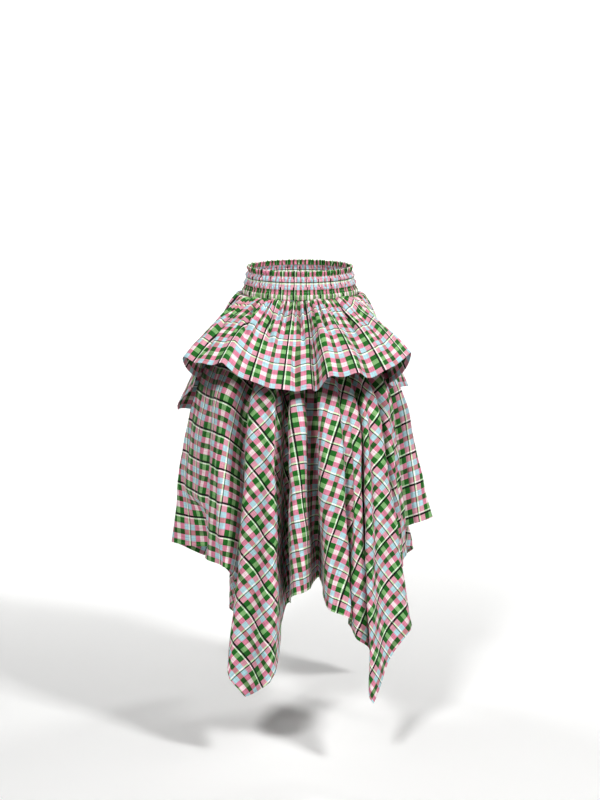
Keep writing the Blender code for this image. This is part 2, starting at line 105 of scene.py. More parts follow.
# Flutes of the peplum, a row for each crest: its place in plan at the hem, the cloth's length from seam to
# hem there, and how much longer the cloth is than the straight way to the next crest
PEPLUM_FLUTES = (
    # name, hem_x, hem_y, length, fullness
    ("left_flap", -0.304, 0.055, 0.335, 1.08),
    ("left_tip", -0.266, -0.172, 0.230, 1.06),
    ("left_2", -0.226, -0.210, 0.231, 1.05),
    ("left_1", -0.172, -0.232, 0.217, 1.05),
    ("front_3", -0.102, -0.248, 0.233, 1.05),
    ("front_2", -0.040, -0.252, 0.237, 1.06),
    ("front_1", 0.020, -0.242, 0.230, 1.80),
    ("front_4", 0.066, -0.270, 0.228, 1.05),
    ("right_1", 0.130, -0.262, 0.233, 1.20),
    ("right_2", 0.196, -0.242, 0.242, 1.05),
    ("right_3", 0.232, -0.210, 0.230, 1.06),
    ("right_tip", 0.250, -0.170, 0.213, 1.08),
    ("right_flap", 0.268, 0.075, 0.275, 1.12),
    ("back_4", 0.215, 0.155, 0.285, 1.15),
    ("back_3", 0.142, 0.218, 0.295, 1.13),
    ("back_2", 0.048, 0.248, 0.300, 1.15),
    ("back_1", -0.048, 0.248, 0.300, 1.13),
    ("back_5", -0.142, 0.222, 0.305, 1.14),
    ("back_6", -0.228, 0.160, 0.320, 1.12),
)
SIDE_SEAM_LENGTH = 0.225
RIGHT_TIP = 11
PEPLUM_OUTSET = 0.0048
PEPLUM_SPRING = 0.045

# How the folds are worked out: as in the solids, in finer steps
CURVE_STEPS = 96
MAX_SWING = 1.75
MOST_FULLNESS = 6.0
DEPTH_GROWTH = 0.9
STEEPEST = 0.3
FIT_ROUNDS = 22
HEM_ROUNDS = 12
FLUTE_GROWTH = 1.3

# Grids that the drapes are worked out on, and how softly the cloth turns over its creases
LEVEL_STEP = 0.015
TURN_STEP = math.radians(0.2)
PLACE_STEP = 0.002
PEPLUM_LEVELS = 33
SKIRT_SOFTNESS = 0.006
PEPLUM_SOFTNESS = 0.011

# The cut of what shows below the band: width and length, and the area where it isn't a plain rectangle
SHOWN_CUTS = (
    # flat, area
    ((0.93, 0.235), 0.175),
    ((1.06, 0.340), 0.245),
    ((1.50, 0.76), 1.06),
    ((1.50, 0.75), 1.06),
)

# Fineness of the cloths that show, how their edges lie, and their stitches
FACE_COLUMNS = 9
VALLEY_COLUMNS = 24
SKIRT_ROWS = 124
PEPLUM_COLUMN = 0.0026
PEPLUM_ROWS = 50
SEAM_GAP = 0.0003
SEAM_FLAT = 0.004
CLOTH_THICKNESS = 0.0012
HEM_WIDTH = 0.009
HEM_EDGE = 0.0010
HEM_ROWS = 4
HEM_STITCH = 3
STITCH_SPACING = 0.0034
STITCH_LENGTH = 0.0024
BAND_STITCH_WIDTH = 0.0006
HEM_STITCH_WIDTH = 0.0005
STITCH_HEIGHT = 0.7
STITCH_SINK = 0.4
BAND_STITCH_SHARES = (0.18, 0.45, 0.72, 0.985)

# Creases of the lower skirt, on its flat cut: from one point to another, half width, and height, up or down
SKIRT_CREASES = (
    # from_x, from_y, to_x, to_y, half_width, rise
    (-0.10, 0.22, -0.30, 0.60, 0.014, -0.0035),
    (-0.15, 0.21, -0.48, 0.64, 0.018, -0.0150),
    (0.03, 0.24, 0.10, 0.70, 0.016, -0.0120),
    (0.24, 0.16, 0.66, 0.40, 0.016, -0.0100),
    (-0.16, 0.20, -0.46, 0.62, 0.012, 0.0030),
    (-0.05, 0.30, -0.10, 0.70, 0.010, -0.0025),
    (-0.30, 0.30, -0.62, 0.55, 0.016, -0.0035),
    (-0.40, 0.46, -0.58, 0.70, 0.012, 0.0025),
    (-0.25, 0.10, -0.66, 0.16, 0.012, -0.0028),
    (-0.30, 0.00, -0.78, 0.07, 0.018, -0.0100),
    (-0.30, 0.05, -0.76, 0.13, 0.014, 0.0050),
    (-0.34, -0.05, -0.76, -0.10, 0.016, -0.0080),
    (-0.24, 0.12, -0.62, 0.20, 0.012, -0.0060),
    (0.14, 0.26, 0.36, 0.66, 0.010, -0.0080),
    (0.20, 0.22, 0.62, 0.56, 0.012, -0.0060),
    (0.30, -0.01, 0.76, 0.01, 0.014, -0.0080),
    (-0.22, -0.08, -0.64, -0.22, 0.014, -0.0035),
    (0.04, 0.26, 0.08, 0.66, 0.010, -0.0028),
    (0.10, 0.24, 0.24, 0.62, 0.012, 0.0030),
    (0.16, 0.22, 0.38, 0.56, 0.010, -0.0030),
    (0.26, 0.28, 0.52, 0.60, 0.014, 0.0028),
    (0.34, 0.26, 0.62, 0.50, 0.012, -0.0035),
    (0.48, 0.52, 0.66, 0.66, 0.010, 0.0025),
    (0.30, 0.14, 0.62, 0.24, 0.012, -0.0030),
    (0.26, 0.02, 0.64, 0.00, 0.012, 0.0028),
    (0.28, -0.10, 0.62, -0.20, 0.014, -0.0032),
    (0.24, -0.24, 0.54, -0.56, 0.014, 0.0032),
    (0.14, -0.26, 0.30, -0.66, 0.012, -0.0030),
    (0.04, -0.30, 0.08, -0.70, 0.012, 0.0028),
    (-0.06, -0.26, -0.12, -0.66, 0.012, -0.0030),
    (-0.16, -0.24, -0.34, -0.64, 0.014, 0.0030),
    (-0.26, -0.24, -0.58, -0.58, 0.012, -0.0032),
    (-0.34, -0.14, -0.66, -0.34, 0.014, 0.0030),
)

# Uneven rise and fall of the whole cloth, on the flat cut: waves a metre across and along, phase and height
CLOTH_WAVES = (
    # across, along, phase, rise
    (3.1, 1.3, 0.4, 0.0016),
    (-2.3, 4.1, 1.9, 0.0014),
    (6.7, 2.9, 3.1, 0.0008),
    (-5.3, 7.9, 5.0, 0.0007),
    (11.3, -9.1, 0.9, 0.0004),
    (13.9, 12.7, 2.2, 0.0003),
)

# Creases of the peplum: place round the hem from the left flap's crest, at the seam's end and the hem's end
# of the crease, the share of the cloth's length at which each end lies, half width, and height, up or down
PEPLUM_CREASES = (
    # top_place, low_place, top_share, low_share, half_width, rise
    (0.080, 0.085, 0.05, 0.60, 0.009, 0.0034),
    (0.160, 0.172, 0.03, 0.80, 0.008, -0.0050),
    (0.230, 0.262, 0.02, 0.85, 0.008, -0.0050),
    (0.262, 0.290, 0.04, 0.60, 0.007, 0.0034),
    (0.262, 0.318, 0.20, 0.98, 0.009, -0.0090),
    (0.325, 0.398, 0.00, 0.66, 0.008, -0.0130),
    (0.372, 0.420, 0.05, 0.90, 0.010, 0.0040),
    (0.424, 0.462, 0.06, 0.56, 0.008, -0.0125),
    (0.452, 0.482, 0.08, 0.75, 0.008, 0.0034),
    (0.492, 0.500, 0.03, 0.45, 0.007, -0.0090),
    (0.522, 0.520, 0.02, 0.40, 0.007, 0.0040),
    (0.550, 0.574, 0.00, 0.56, 0.008, -0.0160),
    (0.542, 0.553, 0.48, 1.06, 0.007, -0.0090),
    (0.583, 0.596, 0.05, 0.70, 0.008, 0.0038),
    (0.690, 0.700, 0.02, 0.50, 0.007, -0.0100),
    (0.720, 0.735, 0.03, 0.80, 0.009, 0.0038),
    (0.762, 0.765, 0.00, 0.46, 0.007, -0.0100),
    (0.828, 0.796, 0.10, 0.56, 0.008, -0.0125),
    (0.835, 0.838, 0.10, 0.90, 0.009, 0.0038),
    (0.874, 0.868, 0.10, 0.96, 0.008, -0.0065),
    (0.905, 0.898, 0.05, 0.80, 0.008, 0.0034),
    (0.945, 0.930, 0.02, 0.85, 0.008, -0.0050),
    (1.000, 0.995, 0.04, 0.80, 0.008, 0.0034),
    (1.080, 1.085, 0.04, 0.60, 0.008, 0.0034),
    (1.180, 1.172, 0.03, 0.75, 0.009, -0.0060),
    (1.300, 1.305, 0.05, 0.60, 0.008, 0.0036),
    (1.420, 1.412, 0.03, 0.80, 0.009, -0.0090),
    (1.540, 1.548, 0.04, 0.55, 0.008, 0.0036),
    (1.650, 1.640, 0.03, 0.75, 0.009, -0.0060),
    (1.780, 1.788, 0.05, 0.65, 0.008, 0.0036),
    (1.900, 1.893, 0.03, 0.70, 0.009, -0.0090),
)

# Gathers at the peplum's seam, fine ones and the folds they run together into: how many, how far they rise,
# how narrow their valleys are, the share of their cloth that the valleys hide, and how far down each of a run
# of them reaches
FINE_REACHES = (0.035, 0.060, 0.028, 0.075, 0.045, 0.066, 0.024, 0.050, 0.085, 0.032, 0.055)
FOLD_REACHES = (0.120, 0.070, 0.165, 0.085, 0.060, 0.135, 0.095, 0.180, 0.075)
PEPLUM_GATHERS = (
    # count, rise, narrowness, phase, hidden, reaches
    (74, 0.0020, 0.8, 0.0, 0.18, FINE_REACHES),
    (25, 0.0078, 2.2, 2.2, 0.46, FOLD_REACHES),
)
GATHER_START = 0.010
GATHER_FADE = 0.8
GATHER_FULLNESS = 0.4

# Waistband: sections from the top edge down, its gathers and frilled heading, and how uneven they are
BAND_SECTIONS = (
    # share, puff
    (0.00, 0.95),
    (0.09, 1.00),
    (0.18, 0.12),
    (0.315, 1.00),
    (0.45, 0.12),
    (0.585, 1.00),
    (0.72, 0.12),
    (0.86, 1.00),
    (1.00, 0.30),
)
BAND_GATHERS = 84
BAND_COLUMNS_A_GATHER = 10
BAND_ROWS = 56
BAND_LIFT = 0.0011
GATHER_RISE = 0.0046
BAND_CLOTH_ROUND = 2.052
BAND_HIDDEN = 0.62
BAND_NARROWNESS = 2.0
HEADING_SHARE = 0.16
HEADING_WAVE = 0.0016
HEADING_FRILL = 0.0010
BAND_TUCK = 0.002
SHIRRED_ROWS = 3.7
ROW_SHIFT = 1.7
BAND_UNEVENNESS = 0.35
UNEVEN_TURNS = (
    # times round, phase, swing
    (5, 0.4, 0.42),
    (13, 2.1, 0.30),
    (29, 4.0, 0.22),
    (47, 1.2, 0.14),
)

# The check: bands across the cloth and rows along it, in millimetres, and the colour of each crossing
WARP_BANDS = (
    # name, width
    ("black_line", 4.6),
    ("white_line", 3.6),
    ("first_green", 13.6),
    ("first_pale", 13.6),
    ("middle_green", 12.0),
    ("second_pale", 14.0),
    ("second_green", 14.6),
)
WEFT_ROWS = (
    # name, width
    ("pink", 12.0),
    ("green", 11.6),
    ("light", 10.8),
    ("green", 11.6),
    ("pink", 12.0),
    ("pale_line", 3.6),
    ("dark_line", 2.4),
)
CROSSINGS = (
    # name, then a colour for each band, in the order of WARP_BANDS
    ("pink", (
        (34, 20, 24), (250, 232, 232), (222, 158, 174), (180, 218, 226),
        (204, 136, 144), (180, 218, 226), (222, 158, 174),
    )),
    ("green", (
        (6, 26, 10), (194, 226, 182), (32, 110, 34), (220, 136, 160),
        (40, 94, 36), (220, 136, 160), (32, 110, 34),
    )),
    ("light", (
        (24, 54, 24), (244, 250, 234), (138, 184, 122), (248, 224, 228),
        (120, 158, 104), (248, 224, 228), (138, 184, 122),
    )),
    ("pale_line", (
        (104, 118, 96), (255, 255, 252), (218, 238, 196), (248, 250, 248),
        (196, 214, 172), (248, 250, 248), (218, 238, 196),
    )),
    ("dark_line", (
        (4, 10, 6), (146, 184, 138), (14, 58, 22), (80, 116, 102),
        (16, 44, 18), (80, 116, 102), (14, 58, 22),
    )),
)

# Where the check starts on each cloth, in metres
SKIRT_CHECK_ACROSS = 0.0058
SKIRT_CHECK_ALONG = 0.0109
PEPLUM_CHECK_ACROSS = 0.0183
BAND_CHECK_ALONG = 0.0895

# The yarns and how they vary, and the cloth's fine crumple
YARN = 0.00045
YARNS_A_METRE = 430.0
SLUBS_A_METRE = 16.0
YARN_SHADE = -0.08
YARN_UNEVENNESS = 0.75
CRUMPLES_A_METRE = 26.0
WEAVE_SHARE = 0.02

# Camera and light, for an image 600 wide and 800 high
CAMERA_DISTANCE = 2.8
CAMERA_HEIGHT = -0.009
CAMERA_DOWN = 6.4
LENS = 52.56
FLOOR_HEIGHT = -1.13
WORLD_LIGHT = 0.03
BACKDROP_AT = 4.4
BACKDROP_BEND = 1.4
BACKDROP_TOP = 2.6
BACKDROP_HALF = 2.7
LIGHTS = (
    # name, x, y, z, aim_x, aim_y, aim_z, width, height, power
    ("key_right", 2.2, -1.9, 2.1, 0.0, 0.0, -0.45, 0.5, 0.5, 76),
    ("key_left", -0.9, -2.7, 1.6, 0.0, 0.0, -0.45, 0.5, 0.5, 62),
    ("backdrop_left", -2.3, 1.6, 1.5, 0.2, 4.4, -0.2, 1.0, 1.4, 62),
    ("backdrop_right", 2.3, 1.6, 1.5, -0.2, 4.4, -0.2, 1.0, 1.4, 62),
)


def seam_point(turn, outset):
    """A point of the seam ring: turn is in radians from centre front, positive to the viewer's right."""
    x = (SEAM_HALF_WIDTH + outset) * np.sin(turn)
    y = -(SEAM_HALF_DEPTH + outset) * np.cos(turn)
    z = -SEAM_DROP - SEAM_TILT * np.cos(turn)
    return x, y, z


def seam_turn(x, y):
    """The turn at which the seam ring lies under a point in plan."""
    return np.arctan2(x / SEAM_HALF_WIDTH, -y / SEAM_HALF_DEPTH)


def eased(keys, values, at):
    """A smooth curve through a few values, each of them an array, carried on straight past the last."""
    slopes = []
    for index in range(len(keys)):
        low = max(index - 1, 0)
        high = min(index + 1, len(keys) - 1)
        slopes.append((values[high] - values[low]) / (keys[high] - keys[low]))
    slopes[0] = slopes[0] * START_SLOPE
    if at >= keys[-1]:
        return values[-1] + slopes[-1] * (at - keys[-1])
    index = max(i for i in range(len(keys) - 1) if at >= keys[i])
    span = keys[index + 1] - keys[index]
    t = (at - keys[index]) / span
    start = (1 + 2 * t) * (1 - t) ** 2 * values[index] + t * (1 - t) ** 2 * span * slopes[index]
    end = t * t * (3 - 2 * t) * values[index + 1] - t * t * (1 - t) * span * slopes[index + 1]
    return start + end


def crest_path(crests, index, t):
    """The closed smooth curve through all the crests, from one crest to the next."""
    count = len(crests)
    before, start = crests[index - 1], crests[index]
    end, after = crests[(index + 1) % count], crests[(index + 2) % count]
    t = t[:, None]
    along = -0.5 * t + t ** 2 - 0.5 * t ** 3
    stay = 1 - 2.5 * t ** 2 + 1.5 * t ** 3
    move = 0.5 * t + 2 * t ** 2 - 1.5 * t ** 3
    past = -0.5 * t ** 2 + 0.5 * t ** 3
    return along * before + stay * start + move * end + past * after


def fold_curve(crests, aims, index, swing, deepen):
    """From one crest down into the valley and up to the next: cloth that bends evenly, like a meander."""
    u = np.linspace(0, 1, CURVE_STEPS + 1)
    heading = swing * np.sin(2 * math.pi * u)
    across = np.concatenate([[0], np.cumsum(np.cos((heading[1:] + heading[:-1]) / 2))])
    inward = np.concatenate([[0], np.cumsum(np.sin((heading[1:] + heading[:-1]) / 2))])
    base = crest_path(crests, index, across / across[-1])
    chord = np.linalg.norm(crests[(index + 1) % len(crests)] - crests[index])
    depth = deepen * inward / across[-1] * chord
    towards = aims[index] - base
    towards /= np.linalg.norm(towards, axis=1)[:, None]
    return base + towards * depth[:, None]


def curve_length(points):
    return np.linalg.norm(np.diff(points, axis=0), axis=1).sum()


def fitted_fold(crests, aims, index, cloth_length):
    """The fold whose length is that of the cloth between its two crests, as points at even steps of cloth."""
    low, high = 0.0, MOST_FULLNESS
    for _ in range(FIT_ROUNDS):
        fullness = (low + high) / 2
        deepen = 1 + DEPTH_GROWTH * max(0, fullness - MAX_SWING)
        points = fold_curve(crests, aims, index, min(fullness, MAX_SWING), deepen)
        if curve_length(points) < cloth_length:
            low = fullness
        else:
            high = fullness
    steps = np.concatenate([[0], np.cumsum(np.linalg.norm(np.diff(points, axis=0), axis=1))])
    even = np.linspace(0, steps[-1], CURVE_STEPS + 1)
    return np.stack([np.interp(even, steps, points[:, axis]) for axis in (0, 1)], axis=1)


def hem_radius(cloth):
    """Distance from the square's centre to its edge, at cloth angles in radians from centre front."""
    turn = np.degrees(cloth) % 360
    side = np.floor((turn + 45) / 90).astype(int) % 4
    bow = np.array([row[2] for row in SQUARE_SIDES])[side]
    flatness = np.array([row[3] for row in SQUARE_SIDES])[side]
    off = np.radians((turn - side * 90 + 180) % 360 - 180)
    return (SQUARE_HALF + bow * (1 - np.abs(np.tan(off)) ** flatness)) / np.cos(off)


def ring_of_folds(crests, aims, cloth, lengths, around, keys_at):
    """One level of a drape: the folds between all crests, read at the given places round the cloth."""
    points, keys = [], []
    for index in range(len(crests)):
        fold = fitted_fold(crests, aims, index, lengths[index])
        points.append(fold[:-1])
        keys.append(np.linspace(cloth[index], cloth[index + 1], CURVE_STEPS + 1)[:-1])
    points = np.concatenate(points * 3)
    keys = np.concatenate(keys)
    keys = np.concatenate([keys - around, keys, keys + around])
    return np.stack([np.interp(keys_at, keys, points[:, axis]) for axis in (0, 1)], axis=1)


def straight_lengths(crests):
    aims = np.zeros_like(crests)
    return np.array([curve_length(fold_curve(crests, aims, index, 0.0, 1.0)) for index in range(len(crests))])


def shoulders(crests, cloth, faces, reach):
    """Each crest's flat face as two points, square to the way to the middle, and their cloth angles."""
    outward = crests / np.linalg.norm(crests, axis=1)[:, None]
    sideways = np.stack([-outward[:, 1], outward[:, 0]], axis=1) * faces[:, None] / 2
    turn = faces * FACE_EASE / reach / 2
    places = np.stack([crests - sideways, crests + sideways], axis=1).reshape(-1, 2)
    angles = np.stack([cloth - turn, cloth + turn], axis=1).reshape(-1)
    return places, angles


def seated(rings, levels, outset, reach):
    """The rings with the first brought onto the seam ring, and the others less and less so."""
    first = rings[0]
    turns = np.unwrap(seam_turn(first[:, 0], first[:, 1]))
    seam = seam_point(turns, outset)
    share = np.hypot(seam[0], seam[1]) / np.linalg.norm(first, axis=1) - 1
    moved = [ring * (1 + share * max(0.0, 1 - level / reach))[:, None] for ring, level in zip(rings, levels)]
    return moved, seam[2]


def softened(ring, step, softness):
    """A ring with its creases turned over softly. The cloth beyond its ends is left as it was."""
    half = int(3 * softness / step)
    if half < 1:
        return ring
    weights = np.exp(-0.5 * (np.arange(-half, half + 1) * step / softness) ** 2)
    weights /= weights.sum()
    soft = ring.copy()
    for axis in (0, 1):
        soft[half:-half, axis] = np.convolve(ring[:, axis], weights, mode="valid")
    return soft


def sampled(grid, rows, columns):
    """A grid's values between its rows and columns, whose numbers need not be whole."""
    row = np.clip(np.floor(rows).astype(int), 0, grid.shape[0] - 2)
    column = np.clip(np.floor(columns).astype(int), 0, grid.shape[1] - 2)
    down, right = rows - row, columns - column
    if grid.ndim == 3:
        down, right = down[..., None], right[..., None]
    upper = grid[row, column] * (1 - right) + grid[row, column + 1] * right
    lower = grid[row + 1, column] * (1 - right) + grid[row + 1, column + 1] * right
    return upper * (1 - down) + lower * down


class Drape:
    """Places in space of a cloth on an even grid: levels count down from the seam, places go round it."""

    def __init__(self, level_step, first_place, place_step, rings, seam_height, lengths):
        self.level_step = level_step
        self.first_place = first_place
        self.place_step = place_step
        plan = np.array(rings)
        heights = [seam_height]
        step = level_step * lengths
        for index in range(1, len(plan)):
            moved = np.linalg.norm(plan[index] - plan[index - 1], axis=1)
            heights.append(heights[-1] - np.sqrt(np.maximum(step ** 2 - moved ** 2, (STEEPEST * step) ** 2)))
        self.grid = np.concatenate([plan, np.array(heights)[:, :, None]], axis=2)

    def at(self, places, levels):
        return sampled(self.grid, levels / self.level_step, (places - self.first_place) / self.place_step)


def skirt_drape():
    """The lower skirt: a round of cloth that grows with its distance from the hole, hung in its folds."""
    table = np.array([row[1:] for row in SKIRT_FOLDS], float)
    hip_cloth, hem_cloth = np.radians(table[:, 0]), np.radians(table[:, 1])
    hip, hem = table[:, 2:4], table[:, 4:6]
    hip_face, hem_face = table[:, 6], table[:, 7]
    aims = np.stack([np.zeros((len(table), 2)), table[:, 8:10]], axis=1).reshape(-1, 2)
    turn = (np.unwrap(seam_turn(hip[:, 0], hip[:, 1])) + hip_cloth) / 2
    top = np.stack(seam_point(turn, 0.0)[:2], axis=1)
    furthest = SQUARE_HALF * math.sqrt(2) - HOLE_RADIUS
    levels = np.arange(0, furthest + 2 * LEVEL_STEP, LEVEL_STEP)
    keys = np.arange(math.radians(-125), math.radians(295), TURN_STEP)
    rings, fold_edges = [], []
    for level in levels:
        share = min(level / HEM_REACH, 1.0)
        centres = eased((0, HIP_REACH, HEM_REACH), (top, hip, hem), level)
        lower_share = (level - HIP_REACH) / (HEM_REACH - HIP_REACH)
        faces = np.maximum(TOP_FACE, hip_face + (hem_face - hip_face) * lower_share)
        centre_cloth = hip_cloth + (hem_cloth - hip_cloth) * share
        crests, cloth = shoulders(centres, centre_cloth, faces, HOLE_RADIUS + level)
        cloth = np.append(cloth, cloth[0] + 2 * math.pi)
        fold_edges.append(cloth)
        straight = straight_lengths(crests)
        full = (HOLE_RADIUS + level) * np.diff(cloth)
        lengths = straight + np.maximum(0, full - straight) * min(1.0, level / SMOOTH_REACH)
        ring = ring_of_folds(crests, aims * share, cloth, lengths, 2 * math.pi, keys)
        rings.append(softened(ring, TURN_STEP * (HOLE_RADIUS + level), SKIRT_SOFTNESS))
    rings, height = seated(rings, levels, 0.0, SMOOTH_REACH)
    return Drape(LEVEL_STEP, keys[0], TURN_STEP, rings, height, 1.0), np.array(fold_edges)


def peplum_drape():
    """The peplum: a gathered strip. Its cloth is measured round the hem, from the left flap's crest."""
    hem = np.array([row[1:3] for row in PEPLUM_FLUTES])
    reach = np.array([row[3] for row in PEPLUM_FLUTES])
    fullness = np.array([row[4] for row in PEPLUM_FLUTES])
    turn = np.unwrap(seam_turn(hem[:, 0], hem[:, 1]))
    top = np.stack(seam_point(turn, PEPLUM_OUTSET)[:2], axis=1)
    cloth = np.concatenate([[0], np.cumsum(straight_lengths(hem) * fullness)])
    around = cloth[-1]
    keys = np.arange(-0.1 * around, 1.3 * around, PLACE_STEP)
    seams = ((cloth[0] + cloth[1]) / 2, (cloth[RIGHT_TIP] + cloth[RIGHT_TIP + 1]) / 2)
    length_keys = np.concatenate([cloth, seams])
    length_values = np.concatenate([reach, [reach[0], SIDE_SEAM_LENGTH, SIDE_SEAM_LENGTH]])
    order = np.argsort(length_keys)
    lengths = np.interp(keys % around, length_keys[order], length_values[order])
    rings = []
    levels = np.linspace(0, 1, PEPLUM_LEVELS)
    for level in levels:
        spread = level + PEPLUM_SPRING * math.sin(math.pi * level)
        crests = top + (hem - top) * spread
        full = 1 + (fullness - 1) * level ** FLUTE_GROWTH
        aims = np.zeros_like(crests)
        ring = ring_of_folds(crests, aims, cloth, straight_lengths(crests) * full, around, keys)
        rings.append(softened(ring, PLACE_STEP, PEPLUM_SOFTNESS))
    rings, height = seated(rings, levels, PEPLUM_OUTSET, 1.0)
    return Drape(levels[1], keys[0], PLACE_STEP, rings, height, lengths), lengths, around, seams


def grid_normals(points):
    """Unit normals, towards the outside, of a grid of points whose rows go down and columns to the right."""
    across = np.gradient(points, axis=1)
    down = np.gradient(points, axis=0)
    normal = -np.cross(across, down)
    return normal / np.maximum(np.linalg.norm(normal, axis=2), 1e-9)[:, :, None]


def crease_rise(x, y, creases):
    """How far straight soft creases lift the cloth at its points, fading towards both ends."""
    rise = np.zeros_like(x)
    for from_x, from_y, to_x, to_y, half_width, height in creases:
        way_x, way_y = to_x - from_x, to_y - from_y
        length = math.hypot(way_x, way_y)
        along = ((x - from_x) * way_x + (y - from_y) * way_y) / length ** 2
        aside = ((x - from_x) * way_y - (y - from_y) * way_x) / length
        fade = np.sin(math.pi * np.clip(along, 0, 1))
        rise += height * fade * np.exp(-((aside / half_width) ** 2))
    return rise


def wave_rise(x, y):
    rise = np.zeros_like(x)
    for across, along, phase, height in CLOTH_WAVES:
        rise += height * np.sin(2 * math.pi * (across * x + along * y) + phase)
    return rise


def cloth_mesh(name, points, across, along, hem_rows):
    """A sheet from a grid of points. It keeps each point's place on the cut, and its hem is double."""
    rows, columns = points.shape[:2]
    column = np.arange(columns - 1)
    faces = []
    for row in range(rows - 1):
        upper = row * columns + column
        lower = upper + columns
        faces.append(np.stack([upper, lower, lower + 1, upper + 1], axis=1))
    faces = np.concatenate(faces)
    mesh = bpy.data.meshes.new(name)
    mesh.from_pydata(points.reshape(-1, 3).tolist(), [], faces.tolist())
    mesh.shade_smooth()
    cut = mesh.uv_layers.new(name="cut")
    corners = faces.reshape(-1)
    places = np.stack([across.reshape(-1)[corners], along.reshape(-1)[corners]], axis=1)
    cut.data.foreach_set("uv", places.astype(np.float32).reshape(-1))
    sheet = bpy.data.objects.new(name, mesh)
    bpy.context.scene.collection.objects.link(sheet)
    hem = sheet.vertex_groups.new(name="hem")
    hem.add(list(range((rows - hem_rows) * columns, rows * columns)), 1.0, "REPLACE")
    wall = sheet.modifiers.new("wall", "SOLIDIFY")
    wall.thickness = CLOTH_THICKNESS
    wall.offset = 0.0
    wall.vertex_group = "hem"
    wall.thickness_vertex_group = 0.5
    return sheet


def hem_levels(reach, rows):
    """Levels of each row: even ones down to the hem, then those of its fold, its stitching and its edge."""
    shares = np.linspace(0, 1, rows + 1)
    even = shares[:, None] * (reach - HEM_WIDTH)[None, :]
    fold = reach - HEM_WIDTH + HEM_EDGE
    stitch = reach - HEM_WIDTH + 2 * HEM_EDGE
    middle = reach - HEM_WIDTH / 2
    edge = reach - HEM_EDGE
    return np.concatenate([even, [fold, stitch, middle, edge, reach]])


def skirt_cloths():
    """Front and back halves of the square."""
    drape, fold_edges = skirt_drape()
    count = fold_edges.shape[1] - 1
    steps = np.where(np.arange(3 * count) % 2, VALLEY_COLUMNS, FACE_COLUMNS)
    column_at = np.concatenate([[0], np.cumsum(steps)]).astype(float)
    once = fold_edges[:, :-1]
    edges = np.concatenate([once - 2 * math.pi, once, fold_edges + 2 * math.pi], axis=1)
    made = []
    for name, start in (("skirt_front", -90), ("skirt_back", 90)):
        seams = (math.radians(start), math.radians(start + 180))
        ends = np.array([[np.interp(seam, row, column_at) for seam in seams] for row in edges])

        def cloth_at(shares, levels):
            row = np.clip(levels / LEVEL_STEP, 0, len(edges) - 1.001)
            low = sampled(ends, row, np.zeros_like(row))
            high = sampled(ends, row, np.ones_like(row) * 0.999999)
            place = np.interp(low + (high - low) * shares, column_at, np.arange(len(column_at)))
            return sampled(edges, row, place)

        columns = int(round(ends[-1, 1] - ends[-1, 0]))
        shares = np.linspace(0, 1, columns + 1)
        corner_level = SQUARE_HALF * math.sqrt(2) - HOLE_RADIUS
        for corner in (start + 45, start + 135):
            row = edges[int(corner_level / LEVEL_STEP)]
            low, high = ends[int(corner_level / LEVEL_STEP)]
            place = np.interp(math.radians(corner), row, column_at)
            shares[np.argmin(abs(shares - (place - low) / (high - low)))] = (place - low) / (high - low)
        reach = np.full(len(shares), HEM_REACH)
        for _ in range(HEM_ROUNDS):
            reach = hem_radius(cloth_at(shares, reach)) - HOLE_RADIUS
        levels = hem_levels(reach, SKIRT_ROWS)
        angles = cloth_at(np.broadcast_to(shares, levels.shape), levels)
        radius = HOLE_RADIUS + levels
        half_gap = SEAM_GAP / radius
        angles = np.clip(angles, seams[0] + half_gap, seams[1] - half_gap)
        points = drape.at(angles, levels)
        x, y = radius * np.sin(angles), radius * np.cos(angles)
        rise = crease_rise(x, y, SKIRT_CREASES) + wave_rise(x, y)
        fade = np.clip(levels / SMOOTH_REACH, 0, 1)
        normals = grid_normals(points)
        points = points + normals * (rise * fade)[:, :, None]
        sheet = cloth_mesh(name + "_cloth", points, SKIRT_CHECK_ACROSS - x, SKIRT_CHECK_ALONG + y, HEM_ROWS)
        made.append((sheet, points, grid_normals(points)))
    return made


def peplum_gathers(places, levels, lengths, around):
    """Rise of the seam's gathers, uneven and each fading out at its own length, and the cloth they hide."""
    share = places / around
    rise = np.zeros_like(places)
    hiding = np.zeros_like(places)
    for count, height, narrowness, phase, hidden, reaches in PEPLUM_GATHERS:
        turn = share * count + phase
        for times, start, swing in UNEVEN_TURNS:
            turn = turn + swing * np.sin(2 * math.pi * times * share + start + phase)
        which = np.floor(turn).astype(int)
        part = turn - which
        reaches = np.array(reaches)
        reach = reaches[which % len(reaches)] * (1 - part) + reaches[(which + 1) % len(reaches)] * part
        fade = np.clip(1 - levels * lengths / reach, 0, 1) ** GATHER_FADE
        wave = 1 - 2 * (0.5 - 0.5 * np.cos(2 * math.pi * turn)) ** (1 + narrowness)
        rise = rise + height * (wave + GATHER_FULLNESS) * fade
        slide = around / count * hidden * (1 - levels) / (2 * math.pi)
        hiding = hiding - slide * np.sin(2 * math.pi * turn)
    return rise * np.clip(levels * lengths / GATHER_START, 0, 1) ** 0.5, hiding


